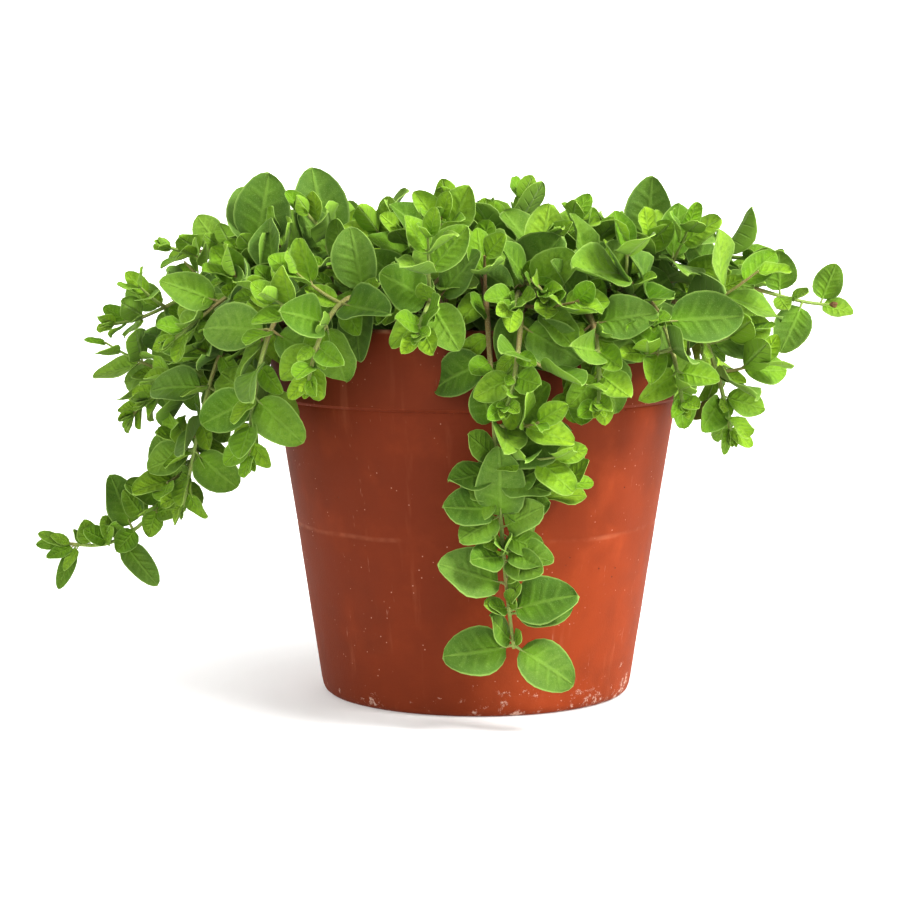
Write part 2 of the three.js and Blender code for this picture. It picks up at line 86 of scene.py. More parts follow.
# ---------------------------------------------------------------- the planting plan
# name, root and handles and tip of the stem's curve, leaf pairs, leaf length, phase and
# single leaves as (distance from tip, bearing, lean to the front, length) and, on a slim one,
# its share of the usual width.
PLACED = [
    ("sprig_front_hanging", [(2, -30), (1, -80, 188), (4, -94, 74), (11, -75, 27)], 0, 22, 20, [
        (1, 188, 12, 20), (1, -28, 15, 20), (2, 130, 35, 13), (2, 60, 50, 7), (13, 22, 20, 20),
        (12, 8, -12, 18), (14, 165, 45, 8), (14, 80, 45, 8), (22, 160, 20, 21), (33, -5, 30, 15),
        (34, 150, 30, 8), (33, 60, 55, 8), (42, 92, 25, 22), (44, 15, 5, 14), (50, 205, 15, 13),
        (54, 165, 20, 13), (62, 28, 20, 22), (62, 140, 30, 12), (72, 110, 30, 14),
        (72, -20, 30, 10)]),
    ("sprig_left_trailing", [(-35, -12), (-70, -18, 200), (-84, -20, 38), (-138, -10, 51)], 0, 24, 60, [
        (1, 176, 10, 10, 0.55), (2, 150, 30, 8, 0.55), (3, 246, 15, 14, 0.5),
        (4, 236, 35, 9, 0.55), (6, 118, 30, 7, 0.6), (17, 112, 25, 9), (17, 75, 45, 8),
        (19, -50, 25, 19, 0.62), (24, 112, 15, 18), (34, 70, 25, 13), (36, 250, 20, 9),
        (47, -50, 25, 12), (47, 110, 10, 15), (53, 200, 20, 12), (58, 60, 20, 14),
        (60, 160, 25, 15), (66, 250, 20, 12), (72, 80, 25, 14), (72, -60, 30, 14),
        (84, 150, 20, 15), (84, 20, 35, 13)]),
    ("sprig_right_trailing", [(34, 8), (66, 10, 160), (92, 8, 132), (120, 4, 131)], 0, 20, 30, [
        (3, 72, 10, 13), (4, -15, 20, 11), (9, 245, 20, 17), (14, 20, 45, 8), (17, 95, 15, 14),
        (18, -60, 50, 8), (27, 70, 10, 13), (28, -80, 30, 11), (40, 120, 20, 16), (40, -20, 30, 16),
        (53, 60, 20, 18), (54, 200, 20, 16)]),
    ("sprig_left_middle", [(-38, 4), (-70, 5, 166), (-92, 2, 104), (-112, 0, 99)], 7, 18, 30, []),
    ("sprig_left_low", [(-36, -24), (-82, -36, 176), (-90, -36, 92), (-97, -30, 66)], 7, 18, 10, []),
    ("sprig_left_outer", [(-30, 14), (-84, 25, 170), (-102, 22, 112), (-119, 14, 92)], 7, 17, 45, []),
    ("sprig_left_upper", [(-26, 24), (-75, 32, 172), (-96, 22, 126), (-125, 12, 124)], 7, 17, 45, []),
    ("sprig_left_top", [(-16, 34), (-58, 44, 170), (-90, 36, 142), (-107, 28, 150)], 7, 18, 15, []),
    ("sprig_left_folded", [(-32, -19), (-62, -34, 166), (-85, -42, 130), (-98, -46, 122)], 7, 20, 0, []),
    ("sprig_front_left_low", [(-26, -34), (-60, -64, 176), (-72, -70, 112), (-72, -66, 86)], 6, 20, 40, []),
    ("sprig_front_left", [(-16, -40), (-40, -66, 160), (-50, -84, 126), (-52, -88, 112)], 6, 20, 0, []),
    ("sprig_front_rosette_1", [(-7, -44), (-12, -64, 152), (-17, -80, 132), (-19, -92, 126)], 5, 20, 45, []),
    ("sprig_front_rosette_2", [(12, -36), (14, -56, 152), (12, -72, 134), (10, -84, 134)], 5, 20, 0, []),
    ("sprig_front_rosette_3", [(10, -47), (16, -76, 164), (12, -88, 108), (8, -97, 105)], 6, 20, 0, []),
    ("sprig_front_rosette_4", [(22, -40), (36, -68, 162), (38, -80, 112), (36, -91, 105)], 6, 20, 30, []),
    ("sprig_front_right_low", [(32, -34), (56, -56, 166), (62, -66, 114), (63, -77, 104)], 6, 22, 30, []),
    ("sprig_front_right", [(25, -26), (40, -52, 154), (50, -66, 136), (53, -78, 130)], 5, 23, 45,
     [(30, 88, 20, 24)]),
    ("sprig_right_low", [(38, -18), (68, -32, 166), (79, -38, 108), (82, -40, 92)], 6, 23, 45, []),
    ("sprig_right_upper", [(20, 27), (58, 30, 160), (84, 18, 144), (101, 8, 147)], 6, 20, 20, []),
    ("sprig_tall_left", [(-24, 6), (-40, 8, 136), (-64, 0, 146), (-76, -6, 150)], 4, 24, 20,
     [(2, 78, 10, 24), (3, 100, -10, 22)]),
    ("sprig_broad_left", [(-20, -4), (-30, -6, 136), (-44, -14, 148), (-52, -20, 149)], 4, 26, 60,
     [(3, 98, 8, 27), (4, 60, 5, 24), (6, 135, 10, 24)]),
    ("sprig_broad_front", [(4, -20), (6, -30, 130), (8, -44, 136), (10, -54, 137)], 4, 24, 15,
     [(2, 42, 15, 27), (4, 142, 20, 24)]),
    ("sprig_tall_right", [(22, 4), (34, 6, 136), (52, 6, 148), (60, 4, 152)], 4, 25, 30,
     [(2, 90, 12, 21), (3, 20, 20, 22), (5, 130, 10, 22)]),
]
CROWN_COUNT = 14
BACK_COUNT = 9
SHOULDERS = (6, 54, 68, 100, 130, 150, 190, 220, 250, 284, 308, 340)   # bearings, degrees


# more single leaves on the two sprigs that hang free, as above
HANGING_EXTRAS = {
    "sprig_front_hanging": [
        (46, 178, 20, 18), (44, 205, 30, 14), (31, 170, 50, 13), (30, -10, 45, 14), (40, 35, 35, 15),
        (38, -20, 10, 12), (14, 160, 40, 9), (17, 60, 50, 9), (33, 60, 60, 9), (33, 120, 60, 9),
        (50, 150, 10, 12), (52, 30, 20, 14), (56, -10, 30, 16), (58, 190, 25, 15), (24, 40, 55, 9)],
    "sprig_left_trailing": [
        (24, 108, 15, 18), (1, 160, 30, 11, 0.6), (3, 205, 20, 10, 0.6), (8, 100, 30, 9),
        (15, 150, 30, 9), (12, 60, 40, 9), (26, 230, 30, 10), (30, 125, 15, 11), (33, 20, 30, 12),
        (40, 160, 20, 13), (42, 75, 25, 14)],
}


def crown_sprig(i):
    """An upright sprig on a golden-angle spiral over the soil."""
    turn, spread = math.radians(137.508 * i + 50), math.sqrt((i + 0.5) / CROWN_COUNT)
    c, s, r, out = math.cos(turn), math.sin(turn), 5 + 30 * spread, 12 + 62 * spread
    top = 163 - 8 * spread + (6, -2, 1)[i % 3]
    path = [(r * c, r * s), (r * 1.15 * c, r * 1.15 * s, SOIL_TOP + 26),
            (out * 0.82 * c, out * 0.82 * s, top - 12), (out * c, out * s, top)]
    return (f"sprig_crown_{i + 1:02d}", path, 4, 25, (i * 50) % 90, [])


def back_sprig(i):
    """A sprig that falls over the back of the rim."""
    turn = math.radians(14 + i * 152 / (BACK_COUNT - 1))
    c, s, out = math.cos(turn), math.sin(turn), 97 + 6 * math.sin(i * 2.1)
    z = 108 + 16 * math.cos(i * 1.7)
    path = [(45 * c, 45 * s), (76 * c, 76 * s, 168), ((out - 8) * c, (out - 8) * s, z + 4),
            (out * c, out * s, z)]
    return (f"sprig_back_{i + 1:02d}", path, 6, 21, (i * 35) % 90, [])


def shoulder_sprig(i, bearing):
    """A sprig that leans out just above the rim."""
    turn = math.radians(bearing)
    c, s, out = math.cos(turn), math.sin(turn), 79 + 5 * math.sin(i * 2.4)
    z = 139 + 5 * math.cos(i * 1.9)
    path = [(37 * c, 37 * s), (46 * c, 46 * s, 146), ((out - 14) * c, (out - 14) * s, z + 6),
            (out * c, out * s, z)]
    return (f"sprig_shoulder_{i + 1:02d}", path, 5, 21, (i * 65) % 90, [])


SPRIGS = (PLACED + [crown_sprig(i) for i in range(CROWN_COUNT)]
          + [back_sprig(i) for i in range(BACK_COUNT)]
          + [shoulder_sprig(i, bearing) for i, bearing in enumerate(SHOULDERS)])


# ---------------------------------------------------------------- growth, in millimetres
def vec(*values):
    return np.array(values, float)


UP = vec(0, 0, 1)


def unit(v):
    return v / max(1e-9, math.sqrt(float(v @ v)))


def make_random(seed):
    """A small repeatable random source, so that every run grows the same plant."""
    state = (seed * 2654435761 + 12345) % 4294967296

    def draw(a, b):
        nonlocal state
        state = (state * 1664525 + 1013904223) % 4294967296
        return a + (b - a) * state / 4294967296
    return draw


class Stem:
    """The centre line of one stem."""

    def __init__(self, path):
        a, b, c, d = [vec(*(p if len(p) == 3 else (*p, SOIL_TOP))) for p in path]
        self.points, self.run = [], [0.0]
        for i in range(25):
            t = i / 24
            u = 1 - t
            self.points.append(a * (u * u * u) + b * (3 * u * u * t) + c * (3 * u * t * t)
                               + d * (t * t * t))
            if i:
                self.run.append(self.run[-1]
                                + float(np.linalg.norm(self.points[i] - self.points[i - 1])))
        self.total = self.run[-1]

    def at(self, distance):
        i = 0
        while i < len(self.run) - 2 and self.run[i + 1] < distance:
            i += 1
        ahead = self.points[i + 1] - self.points[i]
        share = (distance - self.run[i]) / (self.run[i + 1] - self.run[i])
        return self.points[i] + ahead * share, unit(ahead)

    def cloud(self):
        return np.array([self.at(d)[0] for d in np.arange(4.0, self.total, 3.0)])


def leaf_width(v):
    return math.sin(math.pi * v ** 0.78) ** 0.62 if 0 < v < 1 else 0.0


SPOTS = [(0.3, 0), (0.55, 0), (0.8, 0), (1, 0), (0.2, 1), (0.2, -1), (0.45, 1), (0.45, -1),
         (0.7, 1), (0.7, -1), (0.38, 0.5), (0.38, -0.5), (0.65, 0.5), (0.65, -0.5)]


def leaf_spots(leaf):
    side = np.cross(leaf["normal"], leaf["along"])
    spots = []
    for v, across in SPOTS:
        w = leaf_width(v) * leaf["width"] / 2 * abs(across)
        sign = (across > 0) - (across < 0)
        spots.append(leaf["base"] + leaf["along"] * (leaf["length"] * v)
                     + side * (sign * w * math.cos(leaf["fold"]))
                     + leaf["normal"] * (w * math.sin(leaf["fold"])))
    return np.array(spots)


def pot_wall(z):
    if z < CORNER_HEIGHT:
        return BASE_RADIUS + (CORNER_RADIUS - BASE_RADIUS) * z / CORNER_HEIGHT
    if z < BAND_BOTTOM:
        return (CORNER_RADIUS + (BODY_TOP_RADIUS - CORNER_RADIUS) * (z - CORNER_HEIGHT)
                / (BAND_BOTTOM - CORNER_HEIGHT))
    return (BAND_BOTTOM_RADIUS + (RIM_RADIUS - BAND_BOTTOM_RADIUS) * (z - BAND_BOTTOM)
            / (POT_HEIGHT - BAND_BOTTOM))


def touches_pot(p):
    r, z = math.hypot(p[0], p[1]), p[2]
    return ((z < 128 and 61.5 < r < pot_wall(min(z, POT_HEIGHT)) + 1.5)
            or (z < 117 and r <= 63) or (z < 100 and r < pot_wall(z) + 1.5) or z < 3)


def nearer(these, those, limit):
    gaps = these[:, None, :] - those[None, :, :]
    return bool((gaps * gaps).sum(2).min() < limit * limit)


class Plant:
    """Leaves placed so far, with the room that each keeps from its neighbours."""

    def __init__(self):
        self.stems = [Stem(sprig[1]) for sprig in SPRIGS]
        self.clouds = [stem.cloud() for stem in self.stems]
        self.placed = []
        self.centres = np.zeros((6000, 3))
        self.lengths = np.zeros(6000)

    def has_room(self, leaf, ease=1.0):
        spots = leaf["spots"] = leaf_spots(leaf)
        if any(touches_pot(p) for p in spots):
            return False
        n = len(self.placed)
        apart = np.linalg.norm(self.centres[:n] - leaf["centre"], axis=1)
        reach = 0.5 * (leaf["length"] + self.lengths[:n])
        gaps = 0.13 * reach + 0.5
        for k in np.nonzero(apart <= reach + gaps + 2)[0]:
            other, gap = self.placed[k], gaps[k] * ease
            if other["owner"] == leaf["owner"]:
                gap *= 0.7
            if nearer(spots, other["spots"], gap):
                return False
        limit = (0.09 * leaf["length"] + 1.3) * ease
        return not any(i != leaf["owner"] and nearer(spots, cloud, limit)
                       for i, cloud in enumerate(self.clouds))

    def place(self, raw, toward, grown, ease=1.0, tries=5):
        """Tries a leaf as grown, then turned further toward open air."""
        for j in range(tries):
            along = unit(raw["along"] + toward * (0.16 * j))
            normal = unit(raw["normal"] - along * float(raw["normal"] @ along))
            size = 1 - 0.06 * j
            base = raw["stem"] + along * (0.8 + 2 * raw["age"])
            leaf = dict(raw, along=along, normal=normal, length=raw["length"] * size,
                        width=raw["width"] * size, base=base)
            leaf["centre"] = base + along * (leaf["length"] / 2)
            if self.has_room(leaf, ease):
                n = len(self.placed)
                self.centres[n], self.lengths[n] = leaf["centre"], leaf["length"]
                self.placed.append(leaf)
                grown.append(leaf)
                return leaf
        return None


def own_leaf(own, index, k, stem):
    distance, bearing, lean, length, slim = (*own, 1.0)[:5]
    draw = make_random(index * 1000 + 500 + k)
    point, _ = stem.at(stem.total - distance)
    b, lean = math.radians(bearing), math.radians(lean)
    along = vec(math.cos(b) * math.cos(lean), -math.sin(lean), math.sin(b) * math.cos(lean))
    face = vec(draw(-0.2, 0.2), -0.85, 0.55)
    normal = unit(face - along * float(face @ along))
    return dict(owner=index, stem=point, along=along, normal=normal, length=length,
                width=length * draw(0.72, 0.82) * slim, fold=math.radians(draw(6, 16)),
                age=min(1.0, length / 22))


def pair_leaf(phase, leaf_length, index, seed, turned, side, distance, stem, spread_base=34.0):
    draw = make_random(seed)
    point, ahead = stem.at(stem.total - distance)
    ends = stem.points[24] - stem.points[0]
    sideways = unit(np.cross(ends, UP) + vec(0.001, 0, 0))
    a = unit(sideways - ahead * float(sideways @ ahead))
    b = np.cross(ahead, a)
    age = min(1.0, distance / 32)
    turn = math.radians(phase + 90 * turned + 180 * side + draw(-12, 12))
    spoke = a * math.cos(turn) + b * math.sin(turn)
    spread = math.radians(spread_base + 42 * age + draw(-8, 8))
    along = ahead * math.cos(spread) + spoke * math.sin(spread)
    inward = ahead * math.sin(spread) - spoke * math.cos(spread)
    out = unit(vec(point[0], point[1], 0))
    sky = unit(out * 0.5 + UP * 0.75 + vec(0, -0.35, 0))
    normal = inward * 0.35 + (sky - along * float(sky @ along)) * 0.85
    along = unit(along + UP * draw(-0.1, 0.14))
    length = leaf_length * (0.36 + 0.64 * min(1.0, distance / 22)) * draw(0.88, 1.08)
    leaf = dict(owner=index, stem=point, along=along, normal=normal, length=length,
                width=length * draw(0.7, 0.8), fold=math.radians(draw(6, 26)), age=age)
    return leaf, out * 0.4 + UP * 0.6


def grow_main(plant, index):
    """The larger leaves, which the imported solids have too."""
    _, _, pairs, leaf_length, phase, owns = SPRIGS[index]
    stem, grown = plant.stems[index], []
    for k, own in enumerate(owns):
        plant.place(own_leaf(own, index, k, stem), vec(0, -0.6, 0.4), grown)
    distance, stations = 1.5, []
    for k in range(pairs):
        if distance > stem.total - 12:
            break
        for side in (0, 1):
            leaf, toward = pair_leaf(phase, leaf_length, index, index * 1000 + k * 2 + side,
                                     k % 2, side, distance, stem)
            plant.place(leaf, toward, grown)
        stations.append(distance)
        distance += min(11.5, 4 + 2 * k)
    if owns and not pairs:
        stations = sorted({max(2.0, own[0]) for own in owns})
        distance = stations[-1] + 11
    return grown, stations, distance


def grow_shoots(plant, index, grown, stations, distance):
    """Short side shoots from the leaf axils, each with a few pairs of younger leaves."""
    _, _, pairs, leaf_length, phase, _ = SPRIGS[index]
    stem, shoots = plant.stems[index], []
    spots = [d for d in stations if d > (13 if pairs else 38)]
    spots += list(np.arange(distance, stem.total - 12, 11.0))
    for k, station in enumerate(spots):
        draw = make_random(index * 1000 + 300 + k)
        point, ahead = stem.at(stem.total - station)
        a = unit(np.cross(ahead, UP) + vec(0.001, 0, 0))
        b = np.cross(ahead, a)
        turn, reach = draw(0, 2 * math.pi), draw(13, 26)
        out = unit(vec(point[0], point[1], 0))
        aim = unit(ahead * 0.5 + (a * math.cos(turn) + b * math.sin(turn)) * 0.8
                   + UP * 0.35 + out * 0.2)
        shoot = Stem([point, point + aim * (reach * 0.35), point + aim * (reach * 0.7) + UP * (reach * 0.06),
                      point + aim * reach + UP * (reach * 0.15)])
        line = np.array(shoot.points[8:])
        if any(touches_pot(p) for p in line) or line[:, 2].max() > TOP_OF_SHOOTS:
            continue
        apart = np.linalg.norm(plant.centres[:len(plant.placed)] - line.mean(0), axis=1)
        if any(nearer(line, plant.placed[n]["spots"], 1.6) for n in np.nonzero(apart < 24)[0]):
            continue
        leaves = []
        for m, back in enumerate(SHOOT_PAIRS):
            if back > shoot.total - 4:
                break
            for side in (0, 1):
                leaf, toward = pair_leaf(phase + 40 * k, leaf_length * 1.2, index,
                                         index * 1000 + 400 + k * 8 + m * 2 + side, m % 2, side,
                                         back, shoot)
                plant.place(leaf, toward, leaves, SHOOT_EASE, 3)
        if leaves:
            grown += leaves
            shoots.append(shoot)
    return shoots


def grow_fine(plant, index, grown, stations, distance, fullness):
    """Lower leaf pairs, small leaves in the leaf axils and the closed tip of one sprig."""
    _, _, pairs, leaf_length, phase, _ = SPRIGS[index]
    stem = plant.stems[index]
    k = len(stations)
    while distance < stem.total - 8:
        for side in (0, 1):
            leaf, toward = pair_leaf(phase, leaf_length * 0.9, index, index * 1000 + 700 + k * 2 + side,
                                     k % 2, side, distance, stem)
            plant.place(leaf, toward, grown, FILL_EASE)
        stations.append(distance)
        distance += 9.0 / fullness
        k += 1
    for k, station in enumerate(stations):
        if station < (9 if pairs else 26):
            continue
        for side in (0, 1):
            seed = index * 1000 + 800 + k * 2 + side
            leaf, toward = pair_leaf(phase + 35, leaf_length, index, seed, (k + 1) % 2, side,
                                     station, stem, 22.0)
            draw = make_random(seed + 77)
            leaf["length"] = draw(8, 13) if station > 12 else draw(5, 8)
            leaf["width"] = leaf["length"] * draw(0.6, 0.72)
            leaf["age"] = draw(0.0, 0.35)
            plant.place(leaf, toward, grown, FILL_EASE, 3)
    for k in range(4 if pairs else 0):
        leaf, toward = pair_leaf(phase + 45, 14, index, index * 1000 + 950 + k, k // 2, k % 2,
                                 0.6 + 0.4 * (k // 2), stem, 12.0 + 14 * (k // 2))
        leaf["width"], leaf["age"] = leaf["length"] * 0.6, 0.0
        plant.place(leaf, toward, grown, TIP_EASE, 2)


# ---------------------------------------------------------------- shader arithmetic
class Wire:
    """One node socket; arithmetic on it adds Math nodes."""

    def __init__(self, paint, socket):
        self.paint, self.socket = paint, socket

    def calc(self, operation, *values):
        return self.paint.node("ShaderNodeMath", {"operation": operation}, *values)

    def __add__(self, other):
        return self.calc("ADD", self, other)

    __radd__ = __add__

    def __sub__(self, other):
        return self.calc("SUBTRACT", self, other)

    def __rsub__(self, other):
        return self.calc("SUBTRACT", other, self)

    def __mul__(self, other):
        return self.calc("MULTIPLY", self, other)

    __rmul__ = __mul__

    def __truediv__(self, other):
        return self.calc("DIVIDE", self, other)

    def __pow__(self, other):
        return self.calc("POWER", self, other)

    def __abs__(self):
        return self.calc("ABSOLUTE", self)

    def fraction(self):
        return self.calc("FRACT", self)

    def most(self, other):
        return self.calc("MAXIMUM", self, other)

    def step(self, low, high, start=0.0, end=1.0):
        """A smooth rise from start to end as the value goes from low to high."""
        return self.paint.node("ShaderNodeMapRange", {"interpolation_type": "SMOOTHSTEP"},
                               self, low, high, start, end)


class Paint:
    """A node material for one finish."""

    def __init__(self, name, **constants):
        self.material = bpy.data.materials.new(name)
        self.material.use_nodes = True
        self.tree = self.material.node_tree
        self.tree.nodes.clear()
        self.shader = self.tree.nodes.new("ShaderNodeBsdfPrincipled")
        output = self.tree.nodes.new("ShaderNodeOutputMaterial")
        self.tree.links.new(self.shader.outputs[0], output.inputs["Surface"])
        for key, value in constants.items():
            self.shader.inputs[key.replace("_", " ")].default_value = value

    def plug(self, value, socket):
        if isinstance(value, Wire):
            self.tree.links.new(value.socket, socket)
        elif isinstance(value, (tuple, list)) and socket.type == "RGBA" and len(value) == 3:
            socket.default_value = (*value, 1.0)
        else:
            socket.default_value = value

    def node(self, kind, settings=None, *values, output=0, **named):
        made = self.tree.nodes.new(kind)
        for key, value in (settings or {}).items():
            setattr(made, key, value)
        for i, value in enumerate(values):
            self.plug(value, made.inputs[i])
        for key, value in named.items():
            self.plug(value, made.inputs[key])
        return Wire(self, made.outputs[output])

    def place(self):
        return self.node("ShaderNodeTexCoord", output=3)

    def axes(self, vector):
        made = self.tree.nodes.new("ShaderNodeSeparateXYZ")
        self.plug(vector, made.inputs[0])
        return [Wire(self, out) for out in made.outputs]

    def stretched(self, scale):
        return self.node("ShaderNodeMapping", None, Vector=self.place(), Scale=scale)

    def speckle(self, scale, detail=2.0, where=None, rough=0.5):
        return self.node("ShaderNodeTexNoise", None, Vector=where or self.place(), Scale=scale,
                         Detail=detail, Roughness=rough)

    def cells(self, scale, where=None, feature="F1"):
        return self.node("ShaderNodeTexVoronoi", {"feature": feature}, Vector=where or self.place(),
                         Scale=scale)

    def attribute(self, name):
        return self.node("ShaderNodeAttribute", {"attribute_name": name}, output=2)

    def mix(self, share, first, second, blend="MIX"):
        made = self.tree.nodes.new("ShaderNodeMix")
        made.data_type, made.blend_type = "RGBA", blend
        made.clamp_factor = True
        self.plug(share, made.inputs[0])
        self.plug(first, made.inputs[6])
        self.plug(second, made.inputs[7])
        return Wire(self, made.outputs[2])

    def finish(self, color, roughness, height=None, distance=0.0003, strength=1.0):
        self.plug(color, self.shader.inputs["Base Color"])
        self.plug(roughness, self.shader.inputs["Roughness"])
        if height is not None:
            bump = self.node("ShaderNodeBump", None, Height=height, Distance=distance,
                             Strength=strength)
            self.plug(bump, self.shader.inputs["Normal"])
        return self.material


def leaf_top_paint():
    """Downy upper face: soft sunken veins, pale felted margin; young leaves are yellower."""
    p = Paint("leaf_upper", Specular_IOR_Level=0.16, Sheen_Weight=0.03, Sheen_Roughness=0.5)
    u, v, _ = p.axes(p.node("ShaderNodeUVMap", {"uv_map": "UVMap"}))
    age, tint = p.attribute("leaf_age"), p.attribute("leaf_tint")
    side = abs(u * 2.0 - 1.0)
    wander = p.speckle(260.0, 2.0) - 0.5
    rows = v * 5.0 - side * 1.25 + side * side * 0.3 + wander * 0.3 + (u - 0.5).step(-0.01, 0.01) * 0.4
    vein = 1.0 - abs(rows.fraction() - 0.5).step(0.03, 0.30)
    vein = vein * side.step(0.95, 0.5) * v.step(0.95, 0.7) * side.step(0.02, 0.12)
    midrib = 1.0 - side.step(0.02, 0.13)
    margin = side.step(0.90, 1.0).most(v.step(0.965, 1.0))
    young = p.mix(tint, (0.145, 0.285, 0.010), (0.29, 0.44, 0.030))
    grown = p.mix(tint, (0.060, 0.125, 0.013), (0.145, 0.240, 0.044))
    color = p.mix(age.step(0.05, 0.95), young, grown)
    color = p.mix(p.speckle(120.0, 3.0).step(0.35, 0.75, 0.0, 0.45), color, (0.15, 0.27, 0.030))
    color = p.mix(p.speckle(700.0, 3.0).step(0.45, 0.7, 0.0, 0.35), color, (0.055, 0.14, 0.010))
    heart = v.step(0.65, 0.05) * side.step(0.9, 0.1)
    color = p.mix(heart * 0.42, color, (0.20, 0.38, 0.020))
    color = p.mix(side.step(0.45, 1.0) * 0.30, color, (0.11, 0.20, 0.052))
    color = p.mix(midrib * 0.32 + vein * 0.12, color, (0.27, 0.42, 0.08))
    color = p.mix(margin * 0.45, color, (0.40, 0.54, 0.16))
    down = p.speckle(2600.0, 2.0)
    color = p.mix(down.step(0.5, 0.8, 0.0, 0.22), color, (0.34, 0.44, 0.19))
    height = 0.5 - vein * 0.32 - midrib * 0.5 + down * 0.10 + p.speckle(900.0, 2.0) * 0.2
    return p.finish(color, 0.60 + down * 0.16, height, 0.0006, 0.9)


def leaf_under_paint():
    """Paler lower face with raised veins."""
    p = Paint("leaf_lower", Specular_IOR_Level=0.14, Sheen_Weight=0.06, Sheen_Roughness=0.5)
    u, v, _ = p.axes(p.node("ShaderNodeUVMap", {"uv_map": "UVMap"}))
    age, tint = p.attribute("leaf_age"), p.attribute("leaf_tint")
    side = abs(u * 2.0 - 1.0)
    rows = v * 5.6 - side * 1.15 + side * side * 0.25
    vein = (1.0 - abs(rows.fraction() - 0.5).step(0.02, 0.12)) * side.step(0.95, 0.5)
    midrib = 1.0 - side.step(0.03, 0.16)
    color = p.mix(age.step(0.1, 0.9), (0.22, 0.37, 0.025), (0.13, 0.235, 0.038))
    color = p.mix(tint * 0.35, color, (0.20, 0.32, 0.09))
    color = p.mix(midrib * 0.4 + vein * 0.2, color, (0.30, 0.42, 0.14))
    down = p.speckle(2400.0, 2.0)
    color = p.mix(down.step(0.5, 0.8, 0.0, 0.14), color, (0.34, 0.42, 0.20))
    height = vein * 0.5 + midrib + down * 0.2
    return p.finish(color, 0.72 + down * 0.14, height, 0.0004, 0.8)


def stem_paint():
    """Fuzzy stem: green near the tip, tan and reddish towards the root."""
    p = Paint("stem_skin", Specular_IOR_Level=0.2, Sheen_Weight=0.12, Sheen_Roughness=0.4)
    old = p.attribute("stem_age")
    patch = p.speckle(90.0, 3.0)
    color = p.mix(old.step(0.15, 0.8), (0.28, 0.38, 0.10), (0.25, 0.15, 0.07))
    color = p.mix(patch.step(0.45, 0.7, 0.0, 0.6), color, (0.34, 0.20, 0.12))
    fuzz = p.speckle(3200.0, 2.0)
    color = p.mix(fuzz.step(0.5, 0.75, 0.0, 0.5), color, (0.50, 0.52, 0.32))
    ridges = p.speckle(1.0, 2.0, p.stretched((1500.0, 1500.0, 160.0)))
    return p.finish(color, 0.6 + fuzz * 0.25, ridges * 0.5 + fuzz * 0.6, 0.0003, 0.8)


def bud_paint():
    """Dry brown flower bud."""
    p = Paint("dry_bud", Specular_IOR_Level=0.3)
    grain = p.speckle(1500.0, 3.0)
    color = p.mix(grain, (0.10, 0.045, 0.02), (0.27, 0.16, 0.08))
    return p.finish(color, 0.75 + grain * 0.1, grain, 0.0004)


